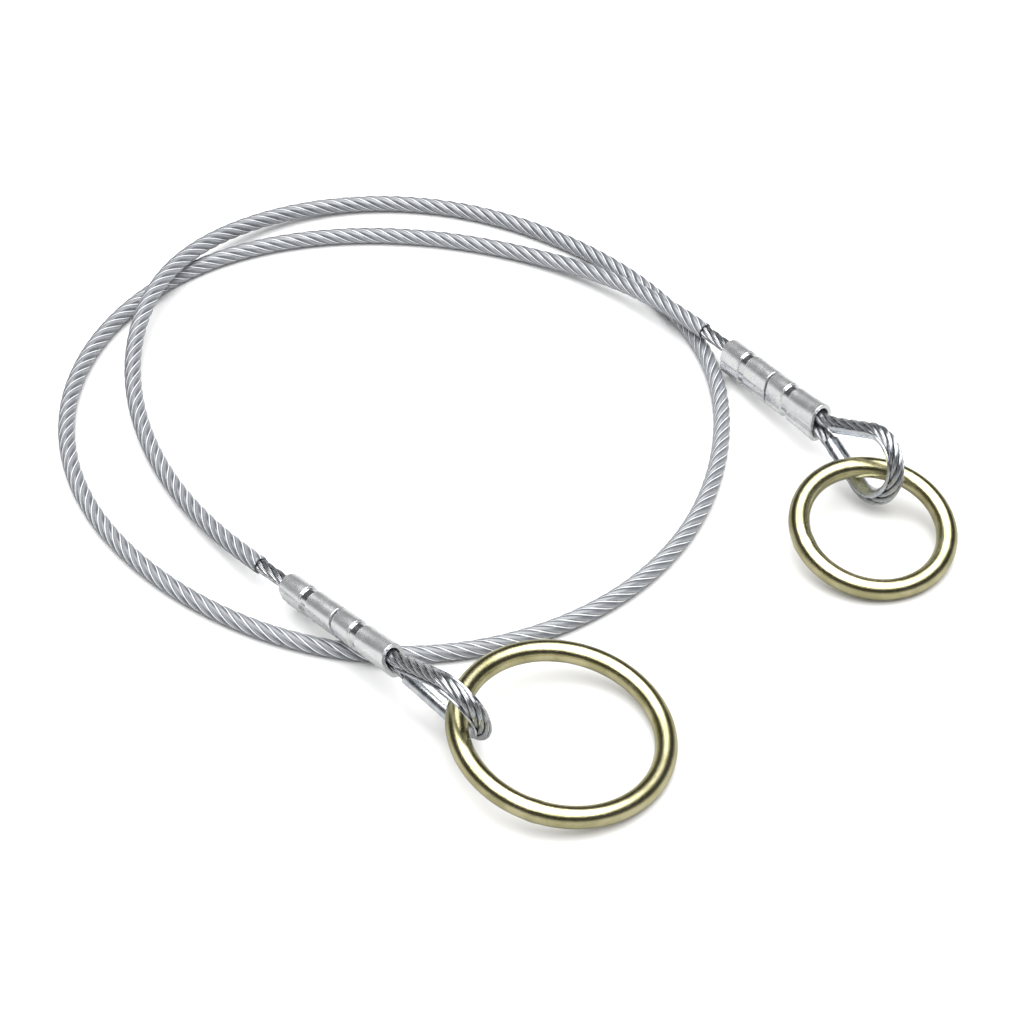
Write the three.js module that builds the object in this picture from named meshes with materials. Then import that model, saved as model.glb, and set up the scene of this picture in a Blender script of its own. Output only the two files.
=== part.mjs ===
// Wire rope sling: plastic-coated wire rope with a thimble eye and a ring at each end.
// Millimetres, +Z up, the floor at z = 0.
import * as THREE from "three";

// Rope and coat
const coatDiameter = 7.94;
const coatBore = 7.0;
const ropeDiameter = 6.35;
const strandDiameter = 1.7;
const strandCircle = 2.12; // radius of the circle that the strand centres lie on
const coreDiameter = 1.8;
const layLength = 41;
const strandCount = 6;
const seam = 0.3;

// Rings: wire diameter and inside diameter
const ringWire = 9.5;
const largeRingBore = 78;
const smallRingBore = 57;

// Eye: crown and fillet radii are at the rope's centreline
const crownRadius = 15.7;
const filletRadius = 25;
const lobe = 3.2; // each rope leg's distance from the sleeve's middle line
const thimbleThickness = 1.1;
const thimbleBore = 3.4;
const thimbleWrap = THREE.MathUtils.degToRad(88); // how far each lip reaches round the rope
const thimbleStart = 9.5; // distance from the sleeve's mouth, along the rope

// Sleeves
const sleeveLength = 34.5;
const sleeveGap = 1;
const sleeveRadius = 5.7;
const lowerRadius = 5.1;
const sleeveBore = 3.45;
const grooveWidth = 4;
const grooveDepth = 0.9;
const eyeGroove = 11.5; // from each sleeve's far end to its groove
const tailGroove = 14;
const stack = 2 * sleeveLength + sleeveGap;
const largeShift = 2.5; // the large end's sleeves sit this much nearer to its eye

// Ends: sleeve mouth, heading and rise of the axis, lean of the eye's plane from upright,
// slope of the eye's legs, length of bare rope between coat and sleeve
const smallEnd = endFrame([149.4, 20.6, 18.6], -57, 6.5, -15, 22, 19);
const largeEnd = endFrame([-42.6, -130.2, 19.8], -47.5, 6.6, 16, 20, 17);

// The rope's route from the large ring's end to the small ring's end
const route = [
  [-129, -36, 5.5], [-160, 15, 4], [-177, 75, 6.5], [-169, 134, 16.3], [-134, 186, 8],
  [-80, 212, 4], [-19, 208, 4], [36, 179, 4.2], [81, 136, 4], [106.2, 84, 4],
  [108, 24, 4], [91, -36, 4], [53, -84, 4], [-2, -112, 4], [-62, -115, 4],
  [-118, -92, 4], [-165, -52, 4], [-196, 0, 4], [-205, 61, 4], [-187, 120, 4],
  [-146, 164, 4], [-90, 184, 4], [-27, 182, 4], [33, 161, 4], [77, 124, 13],
];

// Rings as they lie: centre of the ring and the direction its face looks
const smallRingPose = { centre: [168.3, -42, 12.1], normal: [0.092, -0.2, 0.9755] };
const largeRingPose = { centre: [28.5, -164.5, 12.3], normal: [0.162, -0.054, 0.985] };

function vec(p) {
  return new THREE.Vector3(p[0], p[1], p[2]);
}

function endFrame(mouth, heading, rise, lean, slope, bare) {
  const h = THREE.MathUtils.degToRad(heading);
  const r = THREE.MathUtils.degToRad(rise);
  const k = THREE.MathUtils.degToRad(lean);
  const along = new THREE.Vector3(Math.cos(h) * Math.cos(r), Math.sin(h) * Math.cos(r), Math.sin(r));
  const side = along.clone().cross(new THREE.Vector3(0, 0, 1)).normalize();
  const up = new THREE.Vector3(0, 0, Math.cos(k)).addScaledVector(side, Math.sin(k));
  up.addScaledVector(along, -up.dot(along)).normalize();
  const legAngle = THREE.MathUtils.degToRad(slope);
  return { mouth: vec(mouth), along, up, across: along.clone().cross(up), legAngle, bare };
}

// A point of an end's own frame: x along the axis from the sleeve's mouth, y towards the upper lobe
function inEnd(end, x, y, z = 0) {
  return end.mouth.clone().addScaledVector(end.along, x).addScaledVector(end.up, y)
    .addScaledVector(end.across, z);
}

// Uniform cubic B-spline that starts and ends on its outer points
function splinePoint(points, u) {
  const n = points.length;
  const knot = (i) => Math.min(Math.max(i - 3, 0), n - 3);
  const x = Math.min(Math.max(u, 0), n - 3 - 1e-9);
  const k = Math.floor(x) + 3;
  const d = [0, 1, 2, 3].map((j) => points[k - 3 + j].clone());
  for (let r = 1; r <= 3; r++)
    for (let j = 3; j >= r; j--) {
      const low = knot(k - 3 + j);
      const w = (x - low) / (knot(j + 1 + k - r) - low);
      d[j].lerpVectors(d[j - 1], d[j], w);
    }
  return d[3];
}

// A curve through close points, read by its length, with a frame that doesn't twist
class Line extends THREE.Curve {
  constructor(points) {
    super();
    this.points = points;
    this.lengths = [0];
    for (let i = 1; i < points.length; i++)
      this.lengths.push(this.lengths[i - 1] + points[i].distanceTo(points[i - 1]));
    this.total = this.lengths[points.length - 1];
    this.tangents = points.map((p, i) =>
      points[Math.min(i + 1, points.length - 1)].clone().sub(points[Math.max(i - 1, 0)]).normalize());
    this.normals = [new THREE.Vector3(0, 0, 1).cross(this.tangents[0]).normalize()];
    for (let i = 1; i < points.length; i++) {
      const t = this.tangents[i];
      const n = this.normals[i - 1].clone();
      this.normals.push(n.addScaledVector(t, -n.dot(t)).normalize());
    }
  }

  at(s) {
    const x = Math.min(Math.max(s, 0), this.total);
    let low = 0;
    let high = this.lengths.length - 1;
    while (high - low > 1) {
      const mid = (low + high) >> 1;
      if (this.lengths[mid] <= x) low = mid;
      else high = mid;
    }
    const w = (x - this.lengths[low]) / (this.lengths[high] - this.lengths[low]);
    const mix = (list) => list[low].clone().lerp(list[high], w);
    const tangent = mix(this.tangents).normalize();
    const normal = mix(this.normals).normalize();
    return { point: mix(this.points), tangent, normal, side: tangent.clone().cross(normal) };
  }

  getPoint(t, target = new THREE.Vector3()) {
    return target.copy(this.at(t * this.total).point);
  }

  part(from, to, step = 1) {
    const count = Math.ceil((to - from) / step);
    return Array.from({ length: count + 1 }, (_, i) => this.at(from + ((to - from) * i) / count).point);
  }
}

// The whole coated run, from one sleeve to the other
function mainLine() {
  const start = inEnd(largeEnd, -stack, lobe);
  const finish = inEnd(smallEnd, -stack, lobe);
  const points = [start, start.clone().addScaledVector(largeEnd.along, -15),
    ...route.map(vec), finish.clone().addScaledVector(smallEnd.along, -15), finish];
  const spans = points.length - 3;
  return new Line(Array.from({ length: spans * 40 + 1 }, (_, i) => splinePoint(points, i / 40)));
}

// The rope round one eye, from the upper lobe's mouth to the lower lobe's, as points of the end's plane
function eyePoints(legAngle) {
  const rise = lobe + filletRadius * (1 - Math.cos(legAngle));
  const centre = filletRadius * Math.sin(legAngle) +
    (crownRadius - Math.cos(legAngle) * rise) / Math.sin(legAngle);
  const upper = [];
  for (let i = 0; i <= 10; i++) {
    const a = (legAngle * i) / 10;
    upper.push([filletRadius * Math.sin(a), lobe + filletRadius * (1 - Math.cos(a))]);
  }
  const meet = [centre - crownRadius * Math.sin(legAngle), crownRadius * Math.cos(legAngle)];
  const last = upper[upper.length - 1];
  for (let i = 1; i < 24; i++)
    upper.push([last[0] + ((meet[0] - last[0]) * i) / 24, last[1] + ((meet[1] - last[1]) * i) / 24]);
  for (let i = 0; i < 32; i++) {
    const a = Math.PI / 2 + legAngle - ((Math.PI / 2 + legAngle) * i) / 32;
    upper.push([centre + crownRadius * Math.cos(a), crownRadius * Math.sin(a)]);
  }
  const lower = upper.map(([x, y]) => [x, -y]).reverse();
  return [...upper, [centre + crownRadius, 0], ...lower];
}

function eyeLine(end) {
  return new Line(eyePoints(end.legAngle).map(([x, y]) => inEnd(end, x, y)));
}

// Bare rope at one end: out of the coat, through the sleeves, round the thimble and back to the cut end
function bareLine(end, main, fromStart) {
  const run = fromStart ? main.part(0, end.bare).reverse() : main.part(main.total - end.bare, main.total);
  const through = [];
  for (let x = 2; x < stack; x += 2) through.push(x);
  const out = through.map((x) => inEnd(end, x - stack, lobe));
  const back = through.map((x) => inEnd(end, -x, -lobe));
  const eye = eyePoints(end.legAngle).map(([x, y]) => inEnd(end, x, y));
  return new Line([...run, ...out, ...eye, ...back]);
}

function polygon(radius, sides) {
  const shape = new THREE.Shape();
  for (let i = 0; i < sides; i++) {
    const a = (2 * Math.PI * (i + 0.5)) / sides;
    if (i) shape.lineTo(radius * Math.cos(a), radius * Math.sin(a));
    else shape.moveTo(radius * Math.cos(a), radius * Math.sin(a));
  }
  shape.closePath();
  return shape;
}

function tube(line, shape, steps) {
  line.arcLengthDivisions = 2000;
  return new THREE.ExtrudeGeometry(shape, { steps, bevelEnabled: false, extrudePath: line, curveSegments: 1 });
}

function strand(line, index) {
  const turns = (2 * Math.PI) / layLength;
  const count = Math.ceil(line.total / 1.5);
  const points = Array.from({ length: count + 1 }, (_, i) => {
    const s = seam + ((line.total - seam) * i) / count;
    const f = line.at(s);
    const a = s * turns + (2 * Math.PI * index) / strandCount;
    return f.point.addScaledVector(f.normal, strandCircle * Math.cos(a))
      .addScaledVector(f.side, strandCircle * Math.sin(a));
  });
  return tube(new Line(points), polygon(strandDiameter / 2, 6), 56);
}

// Closed surface through loops of equal point counts; the last loop joins the first
function loft(loops) {
  const n = loops[0].length;
  const position = [];
  loops.forEach((loop, i) => {
    const next = loops[(i + 1) % loops.length];
    for (let j = 0; j < n; j++) {
      const k = (j + 1) % n;
      for (const p of [loop[j], next[j], next[k], loop[j], next[k], loop[k]]) position.push(p.x, p.y, p.z);
    }
  });
  const g = new THREE.BufferGeometry();
  g.setAttribute("position", new THREE.Float32BufferAttribute(position, 3));
  g.computeVertexNormals();
  return g;
}

// Outline of a pressed sleeve: a round upper lobe that laps over a narrower lower lobe
function sleeveSection(end, x, spread, shrink) {
  const points = [];
  const upper = sleeveRadius - shrink;
  const lower = lowerRadius - shrink;
  for (let i = 0; i <= 10; i++) {
    const a = (Math.PI * i) / 10;
    points.push([spread + upper * Math.sin(a), upper * Math.cos(a)]);
  }
  points.push([-0.8, -upper], [-1.4, -lower]);
  for (let i = 0; i <= 8; i++) {
    const a = (Math.PI * i) / 8;
    points.push([-spread - lower * Math.sin(a), -lower * Math.cos(a)]);
  }
  points.push([-1.4, lower], [-0.8, upper]);
  return points.map(([y, z]) => inEnd(end, x, y, z));
}

function sleeveHole(end, x, spread, radius) {
  const points = [];
  for (let i = 0; i <= 10; i++) {
    const a = (Math.PI * i) / 10;
    points.push([spread + radius * Math.sin(a), radius * Math.cos(a)]);
  }
  points.push([-0.8, -radius], [-1.4, -radius]);
  for (let i = 0; i <= 8; i++) {
    const a = (Math.PI * i) / 8;
    points.push([-spread - radius * Math.sin(a), -radius * Math.cos(a)]);
  }
  points.push([-1.4, radius], [-0.8, radius]);
  return points.map(([y, z]) => inEnd(end, x, y, z));
}

// One sleeve; the one at the eye opens out at its mouth
function sleeve(end, mouthX, grooveStart, flare) {
  const far = mouthX - sleeveLength;
  const g0 = far + grooveStart;
  const g1 = g0 + grooveWidth;
  const spread = (x) => lobe + flare * Math.max(0, (x - g1) / (mouthX - g1)) ** 2;
  const outer = [[far, 0.5], [far + 0.8, 0], [g0 - 0.6, 0], [g0, grooveDepth], [g1, grooveDepth],
    [g1 + 0.6, 0], [mouthX - 6, 0], [mouthX, 0.1]];
  const loops = [
    ...outer.map(([x, shrink]) => sleeveSection(end, x, spread(x), shrink)),
    sleeveHole(end, mouthX, spread(mouthX), sleeveBore + flare * 0.3),
    sleeveHole(end, mouthX - 6, spread(mouthX - 6), sleeveBore),
    sleeveHole(end, far, lobe, sleeveBore),
  ];
  return loft(loops);
}

// Thimble: a channel bent round the eye, open outwards, its two points near the sleeve's mouth
function thimble(end) {
  const line = eyeLine(end);
  const inner = thimbleBore;
  const outer = thimbleBore + thimbleThickness;
  const profile = [];
  for (let i = 0; i <= 8; i++) {
    const a = (thimbleWrap * (i - 4)) / 4;
    profile.push([outer * Math.cos(a), outer * Math.sin(a)]);
  }
  for (let i = 8; i >= 0; i--) {
    const a = (thimbleWrap * (i - 4)) / 4;
    profile.push([inner * Math.cos(a), inner * Math.sin(a)]);
  }
  const steps = 34;
  const rings = Array.from({ length: steps + 1 }, (_, i) => {
    const s = thimbleStart + ((line.total - 2 * thimbleStart) * i) / steps;
    const { point, tangent } = line.at(s);
    const inward = end.across.clone().cross(tangent);
    return profile.map(([d, z]) =>
      point.clone().addScaledVector(inward, -d).addScaledVector(end.across, z));
  });
  return capped(rings);
}

// Swept channel with flat ends
function capped(rings) {
  const n = rings[0].length;
  const position = [];
  const put = (...list) => list.forEach((p) => position.push(p.x, p.y, p.z));
  for (let i = 0; i < rings.length - 1; i++)
    for (let j = 0; j < n; j++) {
      const k = (j + 1) % n;
      put(rings[i][j], rings[i + 1][j], rings[i + 1][k], rings[i][j], rings[i + 1][k], rings[i][k]);
    }
  for (const [ring, turned] of [[rings[0], false], [rings[rings.length - 1], true]])
    for (let j = 0; j < n / 2 - 1; j++) {
      const quad = [ring[j], ring[j + 1], ring[n - 2 - j], ring[n - 1 - j]];
      if (turned) quad.reverse();
      put(quad[0], quad[1], quad[2], quad[0], quad[2], quad[3]);
    }
  const g = new THREE.BufferGeometry();
  g.setAttribute("position", new THREE.Float32BufferAttribute(position, 3));
  g.computeVertexNormals();
  return g;
}

function ring(pose, bore) {
  const r = ringWire / 2;
  const middle = bore / 2 + r;
  const profile = [];
  for (let i = 0; i <= 12; i++) {
    const a = (2 * Math.PI * ((i % 12) + 0.5)) / 12;
    profile.push(new THREE.Vector2(middle + r * Math.cos(a), r * Math.sin(a)));
  }
  const g = new THREE.LatheGeometry(profile, 48);
  const turn = new THREE.Quaternion().setFromUnitVectors(new THREE.Vector3(0, 1, 0), vec(pose.normal).normalize());
  const c = vec(pose.centre);
  g.applyMatrix4(new THREE.Matrix4().compose(c, turn, new THREE.Vector3(1, 1, 1)));
  return g;
}

const zinc = { color: 0x9aa0a8, roughness: 0.35, metalness: 0.9 };
const aluminium = { color: 0xc4c7cb, roughness: 0.35, metalness: 0.9 };
const plated = { color: 0xb5ae7c, roughness: 0.25, metalness: 0.9 };
const plastic = { color: 0xaab0ba, roughness: 0.4, metalness: 0.0 };

const sling = new THREE.Group();
sling.position.set(-0.82, -0.04, -0.03); // puts the origin under the middle of the laid-out sling

function add(name, geometry, look) {
  const mesh = new THREE.Mesh(geometry, new THREE.MeshStandardMaterial(look));
  mesh.name = name;
  sling.add(mesh);
}

const main = mainLine();
const coated = new Line(main.part(largeEnd.bare, main.total - smallEnd.bare));
const coatShape = polygon(coatDiameter / 2, 12);
coatShape.holes.push(polygon(coatBore / 2, 12));
add("coat", tube(coated, coatShape, 80), plastic);
add("wire_rope", tube(coated, polygon(ropeDiameter / 2, 8), 80), zinc);

for (const [label, end, fromStart] of [["large", largeEnd, true], ["small", smallEnd, false]]) {
  const line = bareLine(end, main, fromStart);
  for (let i = 0; i < strandCount; i++)
    add(`${label}_end_strand_${i + 1}`, strand(line, i), zinc);
  const inner = new Line(line.part(seam, line.total));
  add(`${label}_end_core_strand`, tube(inner, polygon(coreDiameter / 2, 6), 64), zinc);
  const mouthX = fromStart ? largeShift : 0;
  add(`${label}_end_eye_sleeve`, sleeve(end, mouthX, eyeGroove, 1), aluminium);
  add(`${label}_end_tail_sleeve`, sleeve(end, mouthX - sleeveLength - sleeveGap, tailGroove, 0), aluminium);
  add(`${label}_end_thimble`, thimble(end), zinc);
}

add("small_ring", ring(smallRingPose, smallRingBore), plated);
add("large_ring", ring(largeRingPose, largeRingBore), plated);

export default sling;
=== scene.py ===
import math

import bmesh
import bpy
import numpy as np
from mathutils import Matrix, Vector


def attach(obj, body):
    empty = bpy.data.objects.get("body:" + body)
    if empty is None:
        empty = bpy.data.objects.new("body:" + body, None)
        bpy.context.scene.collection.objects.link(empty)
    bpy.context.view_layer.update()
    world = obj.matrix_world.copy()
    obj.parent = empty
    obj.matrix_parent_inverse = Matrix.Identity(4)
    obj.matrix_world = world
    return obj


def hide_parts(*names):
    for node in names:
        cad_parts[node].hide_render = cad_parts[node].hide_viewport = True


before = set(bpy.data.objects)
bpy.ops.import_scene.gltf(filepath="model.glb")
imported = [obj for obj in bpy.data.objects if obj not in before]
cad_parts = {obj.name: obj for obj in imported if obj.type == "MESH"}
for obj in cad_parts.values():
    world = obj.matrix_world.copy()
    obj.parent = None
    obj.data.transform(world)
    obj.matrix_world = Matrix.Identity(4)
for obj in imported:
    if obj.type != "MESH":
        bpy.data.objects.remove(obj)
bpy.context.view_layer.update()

scene = bpy.context.scene
scene.view_settings.view_transform = "Standard"
mm = 0.001


# camera

cameraSetup = {
    "target": (0.00718, -0.01904, -0.00003),
    "distance": 1.224,
    "elevation": math.radians(43),
    "lens": 94.92,
}


def makeCamera(setup):
    camera = bpy.data.objects.new("camera", bpy.data.cameras.new("camera"))
    scene.collection.objects.link(camera)
    x, y, z = setup["target"]
    back = setup["distance"] * math.cos(setup["elevation"])
    camera.location = (x, y - back, z + setup["distance"] * math.sin(setup["elevation"]))
    camera.rotation_euler = (math.pi / 2 - setup["elevation"], 0, 0)
    camera.data.lens = setup["lens"]
    scene.camera = camera


makeCamera(cameraSetup)
print("camera made")


# the rope's line

place = np.array((-0.00082, -0.00004, -0.00003))  # the laid-out sling's shift to the row's origin

rope = {
    "lay": 41 * mm,
    "strands": 6,
    "strandCircle": 2.12 * mm,
    "strandRadius": 1.07 * mm,
    "coreRadius": 1.0 * mm,
    "lobe": 3.2 * mm,        # each leg's distance from the sleeves' middle line
    "stack": 70 * mm,        # both sleeves and the gap between them
    "deadEnd": 2 * mm,       # how far inside the tail sleeve the rope stops
    "crown": 15.7 * mm,
    "fillet": 25 * mm,
    "leadOut": 15 * mm,      # straight run behind the sleeves, before the route's own points
    "valleyShape": 1.6,      # above 1 keeps the strands round and the valleys narrow
}
sampling = {"fillet": 11, "leg": 25, "crown": 48, "perSpan": 40, "sleeve": 2 * mm}

# from the large ring's end to the small ring's end
route = [
    (-0.129, -0.036, 0.0055), (-0.160, 0.015, 0.004), (-0.177, 0.075, 0.0065),
    (-0.169, 0.134, 0.0163), (-0.134, 0.186, 0.008), (-0.080, 0.212, 0.004),
    (-0.019, 0.208, 0.004), (0.036, 0.179, 0.0042), (0.081, 0.136, 0.004),
    (0.1062, 0.084, 0.004), (0.108, 0.024, 0.004), (0.091, -0.036, 0.004),
    (0.053, -0.084, 0.004), (-0.002, -0.112, 0.004), (-0.062, -0.115, 0.004),
    (-0.118, -0.092, 0.004), (-0.165, -0.052, 0.004), (-0.196, 0.000, 0.004),
    (-0.205, 0.061, 0.004), (-0.187, 0.120, 0.004), (-0.146, 0.164, 0.004),
    (-0.090, 0.184, 0.004), (-0.027, 0.182, 0.004), (0.033, 0.161, 0.004),
    (0.077, 0.124, 0.013),
]


def unit(v):
    return v / np.linalg.norm(v, axis=-1, keepdims=True)


def makeEnd(mouth, heading, rise, lean, slope, bare):
    h, r, k = math.radians(heading), math.radians(rise), math.radians(lean)
    along = np.array((math.cos(h) * math.cos(r), math.sin(h) * math.cos(r), math.sin(r)))
    side = unit(np.cross(along, (0, 0, 1)))
    up = np.array((0, 0, math.cos(k))) + side * math.sin(k)
    up = unit(up - along * up.dot(along))
    return {
        "mouth": np.array(mouth) + place, "along": along, "up": up,
        "across": np.cross(along, up), "slope": math.radians(slope), "bare": bare,
    }


ends = {
    "small": makeEnd((0.1494, 0.0206, 0.0186), -57, 6.5, -15, 22, 0.019),
    "large": makeEnd((-0.0426, -0.1302, 0.0198), -47.5, 6.6, 16, 20, 0.017),
}


def inEnd(end, x, y, z=0.0):
    return end["mouth"] + end["along"] * x + end["up"] * y + end["across"] * z


def eyeCentre(slope):  # how far the crown's centre is from the sleeve's mouth
    rise = rope["lobe"] + rope["fillet"] * (1 - math.cos(slope))
    legReach = (rope["crown"] - math.cos(slope) * rise) / math.sin(slope)
    return rope["fillet"] * math.sin(slope) + legReach


def eyePoints(end):  # the rope round the eye, from the upper lobe's mouth to the lower lobe's
    slope, fillet, crown = end["slope"], rope["fillet"], rope["crown"]
    centre = eyeCentre(slope)
    curve = [(fillet * math.sin(a), rope["lobe"] + fillet * (1 - math.cos(a)))
             for a in np.linspace(0, slope, sampling["fillet"])]
    meet = (centre - crown * math.sin(slope), crown * math.cos(slope))
    leg = [tuple(p) for p in np.linspace(curve[-1], meet, sampling["leg"])[1:-1]]
    arc = [(centre + crown * math.cos(a), crown * math.sin(a))
           for a in np.linspace(math.pi / 2 + slope, 0, sampling["crown"])]
    upper = curve + leg + arc
    lower = [(x, -y) for x, y in upper[-2::-1]]
    return [inEnd(end, x, y) for x, y in upper + lower]


def splinePoints(controls, perSpan):  # clamped uniform cubic B-spline
    spans = len(controls) - 3
    knots = np.clip(np.arange(len(controls) + 4) - 3, 0, spans)
    made = []
    for u in np.linspace(0, spans - 1e-9, spans * perSpan + 1):
        k = int(u) + 3
        d = [np.array(controls[k - 3 + j], float) for j in range(4)]
        for r in range(1, 4):
            for j in range(3, r - 1, -1):
                low, high = knots[k - 3 + j], knots[j + 1 + k - r]
                w = (u - low) / (high - low)
                d[j] = d[j - 1] * (1 - w) + d[j] * w
        made.append(d[3])
    return made


class Line:  # a curve through close points, read by its length, with a frame that doesn't twist
    def __init__(self, points):
        keep = [points[0]]
        for p in points[1:]:
            if np.linalg.norm(p - keep[-1]) > 0.01 * mm:
                keep.append(p)
        self.points = np.array(keep)
        steps = np.linalg.norm(np.diff(self.points, axis=0), axis=1)
        self.lengths = np.concatenate(((0,), np.cumsum(steps)))
        self.total = self.lengths[-1]
        ahead = np.vstack((self.points[1:], self.points[-1:]))
        behind = np.vstack((self.points[:1], self.points[:-1]))
        self.tangents = unit(ahead - behind)
        normals = [unit(np.cross((0, 0, 1), self.tangents[0]))]
        for t in self.tangents[1:]:
            n = normals[-1] - t * normals[-1].dot(t)
            normals.append(unit(n))
        self.normals = np.array(normals)

    def read(self, rows, s):
        return np.stack([np.interp(s, self.lengths, rows[:, k]) for k in range(3)], -1)

    def at(self, s):
        tangent = unit(self.read(self.tangents, s))
        normal = self.read(self.normals, s)
        normal = unit(normal - tangent * np.sum(normal * tangent, -1, keepdims=True))
        return self.read(self.points, s), tangent, normal, np.cross(tangent, normal)


# dead end, eye and sleeves of the large end, the long run, then the same of the small end
def wholeRope():
    large, small = ends["large"], ends["small"]
    lobe, stack, lead = rope["lobe"], rope["stack"], rope["leadOut"]
    inside = np.arange(rope["deadEnd"], stack, sampling["sleeve"])
    deadLarge = [inEnd(large, -x, -lobe) for x in inside[::-1]]
    backLarge = [inEnd(large, -x, lobe) for x in inside]
    starts, stops = inEnd(large, -stack, lobe), inEnd(small, -stack, lobe)
    controls = [starts, starts - large["along"] * lead] + [np.array(p) + place for p in route]
    controls += [stops - small["along"] * lead, stops]
    run = splinePoints(controls, sampling["perSpan"])
    intoSmall = [inEnd(small, -x, lobe) for x in inside[::-1]]
    deadSmall = [inEnd(small, -x, -lobe) for x in inside]
    first = deadLarge + eyePoints(large)[::-1] + backLarge
    line = Line(first + run + intoSmall + eyePoints(small) + deadSmall)
    runStart = Line(first + run[:1]).total
    runLength = Line(run).total
    return line, runStart + large["bare"], runStart + runLength - small["bare"]


ropeLine, coatStart, coatEnd = wholeRope()
eyeLengths = {label: Line(eyePoints(end)).total for label, end in ends.items()}
print("rope line", round(ropeLine.total, 3), "m, coated", round(coatEnd - coatStart, 3), "m")


# mesh helpers

# closed skin over rings of points; marks are per-point attributes
def sweptMesh(name, rings, marks):
    count, around = rings.shape[:2]
    index = np.arange(count * around).reshape(count, around)
    turned = np.roll(index, -1, axis=1)
    quads = np.stack((index[:-1], turned[:-1], turned[1:], index[1:]), -1).reshape(-1, 4)
    faces = quads.tolist() + [index[0, ::-1].tolist(), index[-1].tolist()]
    mesh = bpy.data.meshes.new(name)
    mesh.from_pydata(rings.reshape(-1, 3).tolist(), [], faces)
    for label, values in marks.items():
        layer = mesh.attributes.new(label, "FLOAT", "POINT")
        layer.data.foreach_set("value", np.ascontiguousarray(values, np.float32).ravel())
    mesh.shade_smooth()
    piece = bpy.data.objects.new(name, mesh)
    scene.collection.objects.link(piece)
    return piece


def stations(start, stop, step):
    return np.linspace(start, stop, max(2, int(round((stop - start) / step)) + 1))


# coated run: vinyl coat and the rope laid inside it

coat = {
    "radius": 3.97 * mm,
    "boreRadius": 3.4 * mm,
    "valley": 0.42 * mm,     # how deep the coat sinks between two strands
    "perLobe": 10,
    "step": 1.6 * mm,
    "innerReach": 14 * mm,   # how far the coat's bore is open from each cut end
}


def lobedRings(line, s, radius, valley, perLobe):
    point, _, normal, side = line.at(s)
    around = perLobe * rope["strands"]
    j = np.arange(around)
    angle = 2 * math.pi * (j[None, :] / around + s[:, None] / rope["lay"])
    fall = ((1 - np.cos(2 * math.pi * j / perLobe)) / 2) ** rope["valleyShape"]
    r = radius - valley * fall
    ring = point[:, None] + r[None, :, None] * (
        normal[:, None] * np.cos(angle)[..., None] + side[:, None] * np.sin(angle)[..., None])
    return ring, np.broadcast_to(fall, angle.shape)


def makeCoat():
    s = stations(coatStart, coatEnd, coat["step"])
    outer, fall = lobedRings(ropeLine, s, coat["radius"], coat["valley"], coat["perLobe"])
    reach, bore = coat["innerReach"], coat["boreRadius"]
    near = np.array([coatStart + reach, coatStart])
    far = np.array([coatEnd, coatEnd - reach])
    innerNear, _ = lobedRings(ropeLine, near, bore, 0, coat["perLobe"])
    innerFar, _ = lobedRings(ropeLine, far, bore, 0, coat["perLobe"])
    rings = np.concatenate((innerNear, outer, innerFar))
    flat = np.zeros((2, fall.shape[1]))
    along = np.broadcast_to(s[:, None], fall.shape)
    # counted in strands, with its jump in the bottom of a valley
    points = fall.shape[1]
    strandCount = (np.arange(points) + coat["perLobe"] / 2) % points / coat["perLobe"]
    marks = {"valley": np.concatenate((flat, fall, flat)),
             "around": np.broadcast_to(strandCount, (len(rings), points)),
             "along": np.concatenate((flat + s[0], along, flat + s[-1]))}
    return sweptMesh("vinyl_coat", rings, marks)


vinylCoat = makeCoat()
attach(vinylCoat, "sling")
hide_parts("coat")
cordPath = ropeLine.at(stations(coatStart, coatEnd, 5 * mm))[0]
print("coat made")


# bare strands

strandLook = {
    "wires": 9,
    "perWire": (0.24 * mm, 0.06 * mm, 0.0, 0.06 * mm),  # each point's depth in the strand
    "wirePitch": -30 * mm,
    "step": 1.0 * mm,
    "reach": 0.6 * mm,       # how far the bare strands go on inside the coat
    "crownSwell": 0.09,      # the laid rope opens a little where it bends hard
    "swellFade": 30 * mm,
    "swellHold": 0.35,       # share of the fade's length that keeps the whole swell
}


def crownShare(s):  # 1 at the middle of each eye, 0 in the sleeves
    inSleeves = rope["stack"] - rope["deadEnd"]
    largeMiddle = eyeLengths["large"] / 2 + inSleeves
    smallMiddle = ropeLine.total - eyeLengths["small"] / 2 - inSleeves
    near = np.minimum(abs(s - largeMiddle), abs(s - smallMiddle))
    return np.clip(1 + strandLook["swellHold"] - near / strandLook["swellFade"], 0, 1)


def strandPiece(name, start, stop, index, offset, radius):
    s = stations(start, stop, strandLook["step"])
    point, tangent, normal, side = ropeLine.at(s)
    turn = 2 * math.pi * (s / rope["lay"] + index / rope["strands"])
    out = normal * np.cos(turn)[:, None] + side * np.sin(turn)[:, None]
    swirl = side * np.cos(turn)[:, None] - normal * np.sin(turn)[:, None]
    offset = offset * (1 + strandLook["crownSwell"] * crownShare(s)[:, None])
    centre = point + out * offset
    heading = unit(tangent + swirl * (2 * math.pi * offset / rope["lay"]))
    across = np.cross(heading, out)
    depth = np.tile(strandLook["perWire"], strandLook["wires"])
    j = np.arange(len(depth))
    angle = 2 * math.pi * (j[None, :] / len(depth) + s[:, None] / strandLook["wirePitch"])
    ring = centre[:, None] + (radius - depth)[None, :, None] * (
        out[:, None] * np.cos(angle)[..., None] + across[:, None] * np.sin(angle)[..., None])
    seam = np.broadcast_to(depth / max(depth), angle.shape)
    height = np.linalg.norm(ring - point[:, None], axis=-1)
    height /= rope["strandCircle"] + rope["strandRadius"]
    return sweptMesh(name, ring, {"seam": seam, "height": height})


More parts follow.
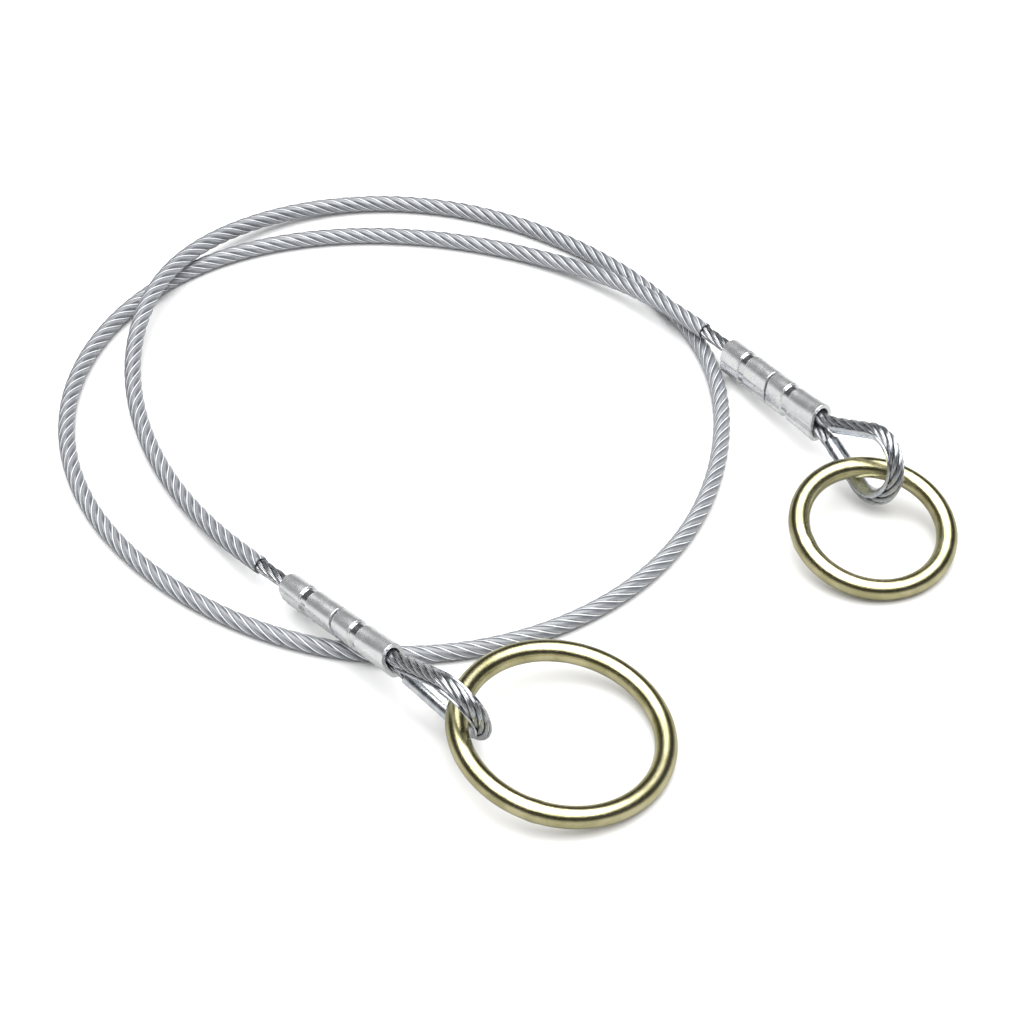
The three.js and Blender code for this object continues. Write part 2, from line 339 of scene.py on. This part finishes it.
def makeBareEnd(label, start, stop):
    pieces = []
    for i in range(rope["strands"]):
        piece = strandPiece(f"{label}_strand_{i + 1}", start, stop, i,
                            rope["strandCircle"], rope["strandRadius"])
        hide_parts(f"{label}_end_strand_{i + 1}")
        pieces.append(piece)
    core = strandPiece(f"{label}_core", start, stop, 0, 0.0, rope["coreRadius"])
    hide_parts(f"{label}_end_core_strand")
    for piece in pieces + [core]:
        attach(piece, "sling")
    return pieces + [core]


bareStrands = makeBareEnd("large", 0, coatStart + strandLook["reach"])
bareStrands += makeBareEnd("small", coatEnd - strandLook["reach"], ropeLine.total)

hiddenRope = {
    "radius": 3.17 * mm,
    "valley": 0.55 * mm,
    "perLobe": 6,
    "step": 2.2 * mm,
    "gap": 0.9 * mm,         # how far it stops inside each cut end of the coat
    "valleyDrop": 0.3,       # how much lower the valleys count for the painted shade of the seams
}


def makeHiddenRope():  # the laid rope inside the coat, as one lobed bar
    s = stations(coatStart + hiddenRope["gap"], coatEnd - hiddenRope["gap"], hiddenRope["step"])
    rings, fall = lobedRings(ropeLine, s, hiddenRope["radius"], hiddenRope["valley"],
                             hiddenRope["perLobe"])
    marks = {"seam": fall, "height": 1 - hiddenRope["valleyDrop"] * fall}
    return sweptMesh("laid_rope", rings, marks)


laidRope = makeHiddenRope()
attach(laidRope, "sling")
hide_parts("wire_rope")
print("strands made")


# modelling helpers

weld = 0.001 * mm  # points closer than this are one point


# the primitive just added becomes a piece in edit mode, with its place in its mesh
def adopt(name):
    piece = bpy.context.object
    piece.name = piece.data.name = name
    bpy.ops.object.transform_apply()
    bpy.ops.object.mode_set(mode="EDIT")
    bpy.ops.mesh.select_mode(type="VERT")
    return piece


def clearSelection():
    bpy.ops.object.select_all(action="DESELECT")


def chooseVertices(piece, test):
    shape = bmesh.from_edit_mesh(piece.data)
    for v in shape.verts:
        v.select = bool(test(v.co))
    shape.select_flush_mode()
    bmesh.update_edit_mesh(piece.data)


def chooseEdges(piece, test):
    bpy.ops.mesh.select_mode(type="EDGE")
    shape = bmesh.from_edit_mesh(piece.data)
    for e in shape.edges:
        e.select = bool(test(e))
    shape.select_flush_mode()
    bmesh.update_edit_mesh(piece.data)


def extrudeBy(x=0.0, y=0.0, z=0.0):
    bpy.ops.mesh.extrude_region_move(TRANSFORM_OT_translate={"value": (x, y, z)})


def resizeAbout(point, x=1.0, y=1.0, z=1.0):
    bpy.ops.transform.resize(value=(x, y, z), center_override=point)


def applyModifier(piece, kind, **settings):
    modifier = piece.modifiers.new(kind.lower(), kind)
    for key, value in settings.items():
        setattr(modifier, key, value)
    bpy.ops.object.modifier_apply(modifier=modifier.name)


def settle(angle=40):  # back to object mode, with soft shading inside the given angle
    bpy.ops.object.mode_set(mode="OBJECT")
    bpy.ops.object.shade_smooth_by_angle(angle=math.radians(angle))


def placeAtEnd(source, name, end):  # own copy of a modelled piece, moved to one end of the sling
    piece = source.copy()
    piece.data = source.data.copy()
    piece.name = piece.data.name = name
    scene.collection.objects.link(piece)
    columns = [Vector(end[key]) for key in ("along", "up", "across")]
    turn = Matrix(columns).transposed().to_4x4()
    clearSelection()
    piece.select_set(True)
    bpy.context.view_layer.objects.active = piece
    piece.matrix_world = Matrix.Translation(Vector(end["mouth"])) @ turn
    bpy.ops.object.transform_apply()
    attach(piece, "sling")
    return piece


# pressed sleeves: lengths run back from the mouth at x = 0, y points to the upper lobe

sleeve = {
    "length": 34.5 * mm,
    "gap": 1 * mm,
    "upper": 5.7 * mm,
    "lower": 5.1 * mm,
    "bore": 3.5 * mm,
    "stepTop": -0.8 * mm,    # where the upper lobe laps over the lower one
    "stepBottom": -1.4 * mm,
    "groove": 4 * mm,
    "grooveDepth": 0.9 * mm,
    "grooveWall": 0.35 * mm,  # how far each wall of the groove slopes
    "eyeGroove": 11.5 * mm,   # from the far end to the groove
    "tailGroove": 14 * mm,
    "flare": 1 * mm,
    "boreFlare": 6 * mm,      # how deep the bore opens towards the mouth
    "rim": 0.5 * mm,          # how much the far end is drawn in
    "rimLength": 0.7 * mm,
    "bevel": 0.28 * mm,
    "around": 46,
    "shift": {"large": 2.5 * mm, "small": 0.0},  # towards the eye
}


def modelSleeve(name, grooveStart, flare):
    lobe, upper, lower = rope["lobe"], sleeve["upper"], sleeve["lower"]
    far, rim, bore = -sleeve["length"], sleeve["rim"], sleeve["bore"]
    clearSelection()
    bpy.ops.mesh.primitive_circle_add(vertices=sleeve["around"], radius=upper, fill_type="NOTHING",
                                      location=(far, 0, 0), rotation=(0, math.pi / 2, 0))
    piece = adopt(name)
    chooseVertices(piece, lambda p: p.y > 0)
    bpy.ops.transform.translate(value=(0, lobe, 0))
    chooseVertices(piece, lambda p: p.y < 0)
    bpy.ops.transform.translate(value=(0, -lobe, 0))
    resizeAbout((far, -lobe, 0), 1, lower / upper, lower / upper)
    chooseEdges(piece, lambda e: e.verts[0].co.y * e.verts[1].co.y < 0)
    bpy.ops.mesh.subdivide(number_cuts=2)
    bpy.ops.mesh.select_mode(type="VERT")
    # the new points between the lobes become a step: the upper lobe's edge, then the lower lobe's
    for test, y, z in ((lambda p: 0 < p.y < 2 * mm, sleeve["stepTop"], upper),
                       (lambda p: -2 * mm < p.y < 0.5 * mm and abs(p.z) < upper - 0.01 * mm,
                        sleeve["stepBottom"], lower)):
        chooseVertices(piece, test)
        spot = [v.co.copy() for v in bmesh.from_edit_mesh(piece.data).verts if v.select][0]
        bpy.ops.transform.translate(value=(0, y - spot.y, 0))
        resizeAbout((far, 0, 0), 1, 1, z / abs(spot.z))

    grooveEnd = far + grooveStart + sleeve["groove"]
    grooveNear = far + grooveStart
    depth, wall = sleeve["grooveDepth"], sleeve["grooveWall"]

    def opened(x):  # how much taller the mouth grows past the groove
        return flare * max(0, (x - grooveEnd) / -grooveEnd) ** 2

    outside = [(far + sleeve["rimLength"], 0.0), (grooveNear - wall, 0.0), (grooveNear, depth),
               (grooveEnd, depth), (grooveEnd + wall, 0.0)]
    outside += [(x, 0.0) for x in np.linspace(grooveEnd, 0, 6)[1:]]
    bpy.ops.mesh.select_all(action="SELECT")
    resizeAbout((far, 0, 0), 1, 1 - rim / (lobe + upper), 1 - rim / upper)
    stops = [(x, lobe + upper - shrink + opened(x), upper - shrink) for x, shrink in outside]
    stops += [(0.0, lobe + bore + flare * 1.2, bore + flare * 0.3),
              (-sleeve["boreFlare"], lobe + bore + flare * 0.3, bore),
              (far, lobe + bore, bore)]
    reached, tall, wide = far, lobe + upper - rim, upper - rim
    for x, newTall, newWide in stops:
        extrudeBy(x - reached)
        resizeAbout((x, 0, 0), 1, newTall / tall, newWide / wide)
        reached, tall, wide = x, newTall, newWide
    chooseEdges(piece, lambda e: e.is_boundary)
    bpy.ops.mesh.bridge_edge_loops()
    bpy.ops.mesh.select_all(action="SELECT")
    bpy.ops.mesh.remove_doubles(threshold=weld)
    bpy.ops.mesh.normals_make_consistent(inside=False)
    settle()
    applyModifier(piece, "BEVEL", width=sleeve["bevel"], segments=2, limit_method="ANGLE",
                  angle_limit=math.radians(32))
    bpy.ops.object.shade_smooth_by_angle(angle=math.radians(38))
    burnish = piece.data.attributes.new("burnished", "FLOAT", "FACE")
    inGroove = [float(grooveNear < f.center.x < grooveEnd) for f in piece.data.polygons]
    burnish.data.foreach_set("value", inGroove)
    return piece


sleeveModels = {
    "eye_sleeve": modelSleeve("eye_sleeve_model", sleeve["eyeGroove"], sleeve["flare"]),
    "tail_sleeve": modelSleeve("tail_sleeve_model", sleeve["tailGroove"], 0.0),
}
sleevePieces = []
for kind, model in sleeveModels.items():
    for label, end in ends.items():
        shifted = dict(end)
        back = sleeve["length"] + sleeve["gap"] if kind == "tail_sleeve" else 0
        shifted["mouth"] = inEnd(end, sleeve["shift"][label] - back, 0)
        piece = placeAtEnd(model, f"{label}_{kind}", shifted)
        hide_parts(f"{label}_end_{kind}")
        sleevePieces.append(piece)
    bpy.data.objects.remove(model)
print("sleeves made")


# thimbles: half-round channel bent round each eye

thimble = {
    "radius": 3.95 * mm,     # middle of the channel's wall
    "wall": 1.1 * mm,
    "start": 9.5 * mm,       # along the rope from the sleeve's mouth
    "lipReach": 0.12 * mm,   # how far the channel stops below a half circle
    "bevel": 0.3 * mm,
    "around": 44,
    "steps": 44,
    "legShares": (0.4, 0.6),
}


def modelThimble(name, slope):
    crown, r = rope["crown"], thimble["radius"]
    centre = Vector((eyeCentre(slope), 0, 0))
    ahead = Vector((math.cos(slope), math.sin(slope), 0))
    outward = Vector((-math.sin(slope), math.cos(slope), 0))
    top = centre + outward * crown
    legStart = Vector((rope["fillet"] * math.sin(slope),
                       rope["lobe"] + rope["fillet"] * (1 - math.cos(slope)), 0))
    legLength = (top - legStart).length - (thimble["start"] - rope["fillet"] * slope)
    clearSelection()
    bpy.ops.mesh.primitive_circle_add(vertices=thimble["around"], radius=r, fill_type="NOTHING",
                                      location=top, rotation=(0, math.pi / 2, slope))
    piece = adopt(name)
    chooseVertices(piece, lambda p: (p - top).dot(outward) > -thimble["lipReach"])
    bpy.ops.mesh.delete(type="VERT")
    bpy.ops.mesh.select_all(action="SELECT")
    bpy.ops.mesh.spin(steps=thimble["steps"], angle=math.pi + 2 * slope, center=centre,
                      axis=(0, 0, 1))
    for mirror in (1, -1):
        back = Vector((-ahead.x, -ahead.y * mirror, 0))
        edge = Vector((top.x, top.y * mirror, 0))
        chooseVertices(piece, lambda p: abs((p - edge).dot(back)) < weld
                       and (p - edge).length < 1.2 * r)
        for share in thimble["legShares"]:
            extrudeBy(*(back * legLength * share))
    bpy.ops.mesh.select_all(action="SELECT")
    bpy.ops.mesh.remove_doubles(threshold=weld)
    bpy.ops.mesh.normals_make_consistent(inside=False)
    settle()
    applyModifier(piece, "SOLIDIFY", thickness=thimble["wall"], offset=0)
    applyModifier(piece, "BEVEL", width=thimble["bevel"], segments=2, limit_method="ANGLE",
                  angle_limit=math.radians(50))
    bpy.ops.object.shade_smooth_by_angle(angle=math.radians(50))
    return piece


thimblePieces = []
for label, end in ends.items():
    model = modelThimble(f"{label}_thimble_model", end["slope"])
    piece = placeAtEnd(model, f"{label}_thimble", end)
    bpy.data.objects.remove(model)
    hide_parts(f"{label}_end_thimble")
    thimblePieces.append(piece)
print("thimbles made")


# rings: round bar bent to a circle and butt welded, each as it lies on the floor

ring = {
    "wire": 9.5 * mm,
    "weldSwell": 1.035,      # the weld's middle against the bar
    "weldReach": 2.6 * mm,
    "weldShares": (1.0, 0.55),
    "around": 160,
    "across": 28,
}
ringPoses = {
    "small_ring": {"centre": (0.1683, -0.042, 0.0121), "normal": (0.092, -0.2, 0.9755),
                   "bore": 57 * mm, "weldAt": 200},
    "large_ring": {"centre": (0.0285, -0.1645, 0.0123), "normal": (0.162, -0.054, 0.985),
                   "bore": 78 * mm, "weldAt": 255},
}


def modelRing(body, pose):
    r = ring["wire"] / 2
    middle = pose["bore"] / 2 + r
    centre = Vector(pose["centre"]) + Vector(place)
    normal = Vector(pose["normal"]).normalized()
    turn = Vector((0, 0, 1)).rotation_difference(normal)
    clearSelection()
    bpy.ops.mesh.primitive_torus_add(major_radius=middle, minor_radius=r,
                                     major_segments=ring["around"], minor_segments=ring["across"],
                                     location=centre, rotation=turn.to_euler())
    piece = adopt(f"{body}_bar")
    at = math.radians(pose["weldAt"])
    spoke = turn @ Vector((math.cos(at), math.sin(at), 0))
    along = turn @ Vector((-math.sin(at), math.cos(at), 0))
    weldCentre = centre + spoke * middle
    swell = ring["weldSwell"] ** (1 / len(ring["weldShares"]))
    for share in ring["weldShares"]:
        chooseVertices(piece, lambda p: abs((p - weldCentre).dot(along)) < ring["weldReach"] * share
                       and (p - weldCentre).length < 2 * r)
        resizeAbout(weldCentre, swell, swell, swell)
    bpy.ops.mesh.select_all(action="SELECT")
    bpy.ops.mesh.normals_make_consistent(inside=False)
    settle(60)
    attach(piece, body)
    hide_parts(body)
    return piece


ringPieces = [modelRing(body, pose) for body, pose in ringPoses.items()]
print("rings made")


# materials

class Value:
    def __init__(self, finish, socket):
        self.finish, self.socket = finish, socket

    def maths(self, operation, *values):
        inputs = dict(enumerate(values))
        return self.finish.node("ShaderNodeMath", {"operation": operation}, inputs)

    def __add__(self, other):
        return self.maths("ADD", self, other)

    def __sub__(self, other):
        return self.maths("SUBTRACT", self, other)

    def __rsub__(self, other):
        return self.maths("SUBTRACT", other, self)

    def __mul__(self, other):
        return self.maths("MULTIPLY", self, other)

    def sine(self):
        return self.maths("SINE", self)

    def between(self, low, high):  # 0 below low, 1 above high, smooth between
        return self.finish.node("ShaderNodeMapRange", {"interpolation_type": "SMOOTHSTEP"},
                                {"Value": self, "From Min": low, "From Max": high})

    __radd__, __rmul__ = __add__, __mul__


class Finish:
    def __init__(self, name, tree=None):
        if tree is None:
            self.material = bpy.data.materials.new(name)
            self.material.use_nodes = True
            tree = self.material.node_tree
        self.tree = tree
        self.tree.nodes.clear()

    def node(self, kind, settings=None, inputs=None, output=0):
        made = self.tree.nodes.new(kind)
        for key, value in (settings or {}).items():
            setattr(made, key, value)
        for key, value in (inputs or {}).items():
            socket = made.inputs[key]
            if isinstance(value, Value):
                self.tree.links.new(value.socket, socket)
            elif isinstance(value, tuple) and len(value) == 3 and socket.type == "RGBA":
                socket.default_value = (*value, 1)
            else:
                socket.default_value = value
        return Value(self, made.outputs[output]) if len(made.outputs) else None

    def attribute(self, name):
        return self.node("ShaderNodeAttribute", {"attribute_name": name}, output="Fac")

    def objectPoint(self):
        return self.node("ShaderNodeTexCoord", output="Object")

    def noise(self, scale, detail=3.0, vector=None, roughness=0.5):
        inputs = {"Vector": vector or self.objectPoint(), "Scale": scale, "Detail": detail,
                  "Roughness": roughness}
        return self.node("ShaderNodeTexNoise", {}, inputs, "Fac")

    def mix(self, share, first, second):  # sockets 0, 6, 7 and 2 are the factor and the colours
        return self.node("ShaderNodeMix", {"data_type": "RGBA"}, {0: share, 6: first, 7: second}, 2)

    def bump(self, height, distance):
        inputs = {"Height": height, "Distance": distance, "Strength": 1.0}
        return self.node("ShaderNodeBump", {}, inputs)

    def finishWith(self, pieces, **inputs):
        named = {key.replace("_", " "): value for key, value in inputs.items()}
        shader = self.node("ShaderNodeBsdfPrincipled", {}, named)
        self.node("ShaderNodeOutputMaterial", {}, {"Surface": shader})
        for piece in pieces:
            piece.data.materials.clear()
            piece.data.materials.append(self.material)


coatFinish = {
    "light": (0.30, 0.313, 0.335),
    "dark": (0.098, 0.106, 0.118),
    "valleyShade": (0.07, 0.08, 0.10),    # painted shade, just above the bottom of each valley
    "line": (0.90, 0.91, 0.92),    # trapped light in the bottom of each valley
    "paintedFlankShade": 0.75,                 # painted shade: how much one flank of a strand is lighter than the other
    "wires": 4,                    # wires seen across one strand
    "wireSlant": 900.0,            # how fast they run round the strand, in radians to a metre
    "wireStreak": 0.14,
    "haze": 0.4,
    "base": -0.12,
    "roughness": 0.2,
    "bump": 0.00008,
}


def paintCoat():
    f = Finish("clear_vinyl_over_rope")
    around, along, valley = f.attribute("around"), f.attribute("along"), f.attribute("valley")
    turns = around * (2 * math.pi)
    side = turns.sine() * 0.5 + 0.5  # painted shade, from one flank of a strand to the other
    wires = (turns * coatFinish["wires"] + along * coatFinish["wireSlant"]).sine() * 0.5 + 0.5
    haze = f.noise(140, 4)
    share = side * coatFinish["paintedFlankShade"] + wires * coatFinish["wireStreak"]
    share = share + haze * coatFinish["haze"] + coatFinish["base"]
    shade = f.mix(share, coatFinish["dark"], coatFinish["light"])
    # painted shade darkens each valley just above its bottom
    valleyShade = valley.between(0.3, 0.7) - valley.between(0.8, 0.95)
    shade = f.mix(valleyShade * 0.6, shade, coatFinish["valleyShade"])
    shade = f.mix(valley.between(0.85, 0.98) * 0.95, shade, coatFinish["line"])
    height = f.noise(420, 3) * 0.4 + haze
    f.finishWith([vinylCoat], Base_Color=shade, Roughness=haze * 0.16 + coatFinish["roughness"],
                 Coat_Weight=0.6, Coat_Roughness=0.08, IOR=1.52,
                 Normal=f.bump(height, coatFinish["bump"]))


paintCoat()


strandFinish = {
    "steel": (0.88, 0.90, 0.93),
    "grime": (0.62, 0.64, 0.68),
    "gap": (0.012, 0.013, 0.015),  # painted shade between wires and between strands
    "bump": 0.00003,
}


def paintStrands():
    f = Finish("bright_drawn_wire")
    seam, height = f.attribute("seam"), f.attribute("height")
    grime = f.noise(900, 3)
    steel = f.mix(grime.between(0.35, 0.75), strandFinish["grime"], strandFinish["steel"])
    # painted shade: dark in the gaps between wires and in the valleys between strands
    shadow = 1 - (1 - seam.between(0.2, 0.9)) * height.between(0.72, 0.94)
    shade = f.mix(shadow, steel, strandFinish["gap"])
    f.finishWith(bareStrands + [laidRope], Base_Color=shade, Metallic=1 - shadow * 0.7,
                 Roughness=grime * 0.16 + 0.14, Normal=f.bump(grime, strandFinish["bump"]))


paintStrands()


sleeveFinish = {
    "dull": (0.80, 0.81, 0.83),
    "bright": (0.90, 0.91, 0.92),
    "metallic": 0.82,
    "roughness": 0.15,
    "burnish": 0.5,          # how much smoother the pressed grooves are
    "bump": 0.000004,
}


def paintSleeves():
    f = Finish("pressed_aluminium")
    point = f.objectPoint()
    cloud, grain = f.noise(220, 4, point), f.noise(1600, 3, point)
    burnished = f.attribute("burnished")
    shade = f.mix(cloud.between(0.3, 0.7), sleeveFinish["dull"], sleeveFinish["bright"])
    rough = cloud * 0.16 + grain * 0.05 + sleeveFinish["roughness"]
    f.finishWith(sleevePieces, Base_Color=shade,
                 Metallic=burnished * 0.14 + sleeveFinish["metallic"],
                 Roughness=rough * (1 - burnished * sleeveFinish["burnish"]),
                 Normal=f.bump(grain, sleeveFinish["bump"]))


paintSleeves()


thimbleFinish = {
    "dull": (0.60, 0.64, 0.70),
    "bright": (0.80, 0.82, 0.85),
    "roughness": 0.16,
    "bump": 0.00006,
}


def paintThimbles():
    f = Finish("zinc_plated_steel")
    point = f.objectPoint()
    cloud, grain = f.noise(260, 5, point), f.noise(1900, 2, point)
    shade = f.mix(cloud.between(0.3, 0.7), thimbleFinish["dull"], thimbleFinish["bright"])
    f.finishWith(thimblePieces, Base_Color=shade, Metallic=1.0,
                 Roughness=cloud * 0.22 + thimbleFinish["roughness"],
                 Normal=f.bump(grain * 0.6 + cloud, thimbleFinish["bump"]))


paintThimbles()


ringFinish = {
    "yellow": (0.66, 0.61, 0.37),
    "olive": (0.46, 0.43, 0.23),
    "speck": (0.20, 0.16, 0.09),
    "wear": 0.6,             # how strong the specks are
    "roughness": 0.12,
    "bump": 0.00006,
}


def paintRings():
    f = Finish("yellow_zinc_plating")
    point = f.objectPoint()
    cloud, grain = f.noise(90, 4, point), f.noise(2600, 2, point)
    speck = f.noise(1300, 4, point, 0.65)
    shade = f.mix(cloud.between(0.32, 0.68), ringFinish["olive"], ringFinish["yellow"])
    shade = f.mix(speck.between(0.60, 0.72) * ringFinish["wear"], shade, ringFinish["speck"])
    f.finishWith(ringPieces, Base_Color=shade, Metallic=1.0,
                 Roughness=speck * 0.2 + ringFinish["roughness"],
                 Normal=f.bump(grain * 0.4 + cloud + speck * 0.5, ringFinish["bump"]))


paintRings()
print("materials made")


# floor and sky

studio = {
    "floorSize": 12,
    "overhead": 4.3,
    "wall": 0.03,
    "edge": (0.72, 0.84),    # sine of the height where the overhead light begins
    "horizon": 0.4,
    "horizonFade": (-0.02, 0.30),
    "fill": 0.5,             # share of even light from all round that matt surfaces get
    "floor": (0.95, 0.95, 0.95),
    "mirroredFloor": (0.46, 0.46, 0.45),
}


def makeStudio():
    clearSelection()
    bpy.ops.mesh.primitive_plane_add(size=studio["floorSize"], location=(0, 0, 0))
    floor = bpy.context.object
    floor.name = "floor"
    f = Finish("pale_floor")
    pale = f.node("ShaderNodeBsdfDiffuse", {}, {"Color": studio["floor"]})
    grey = f.node("ShaderNodeBsdfDiffuse", {}, {"Color": studio["mirroredFloor"]})
    mirrored = f.node("ShaderNodeLightPath", output="Is Glossy Ray")
    surface = f.node("ShaderNodeMixShader", {}, {0: mirrored, 1: pale, 2: grey})
    f.node("ShaderNodeOutputMaterial", {}, {"Surface": surface})
    floor.data.materials.append(f.material)

    world = bpy.data.worlds.new("studio_sky")
    scene.world = world
    world.use_nodes = True
    sky = Finish("studio_sky", world.node_tree)
    direction = sky.node("ShaderNodeTexCoord", output="Generated")
    up = sky.node("ShaderNodeSeparateXYZ", {}, {0: direction}, "Z")
    light = up.between(*studio["edge"]) * studio["overhead"] + studio["wall"]
    low = (1 - up.between(*studio["horizonFade"])) * studio["horizon"]
    even = sky.node("ShaderNodeLightPath", output="Is Diffuse Ray") * studio["fill"]
    strength = (light + low) * (1 - even) + even
    shade = sky.node("ShaderNodeBackground", {}, {"Color": (1, 1, 1), "Strength": strength})
    plain = sky.node("ShaderNodeBackground", {}, {"Color": (1, 1, 1), "Strength": 1.0})
    seen = sky.node("ShaderNodeLightPath", output="Is Camera Ray")
    surface = sky.node("ShaderNodeMixShader", {}, {0: seen, 1: shade, 2: plain})
    sky.node("ShaderNodeOutputWorld", {}, {"Surface": surface})


makeStudio()
print("studio made")
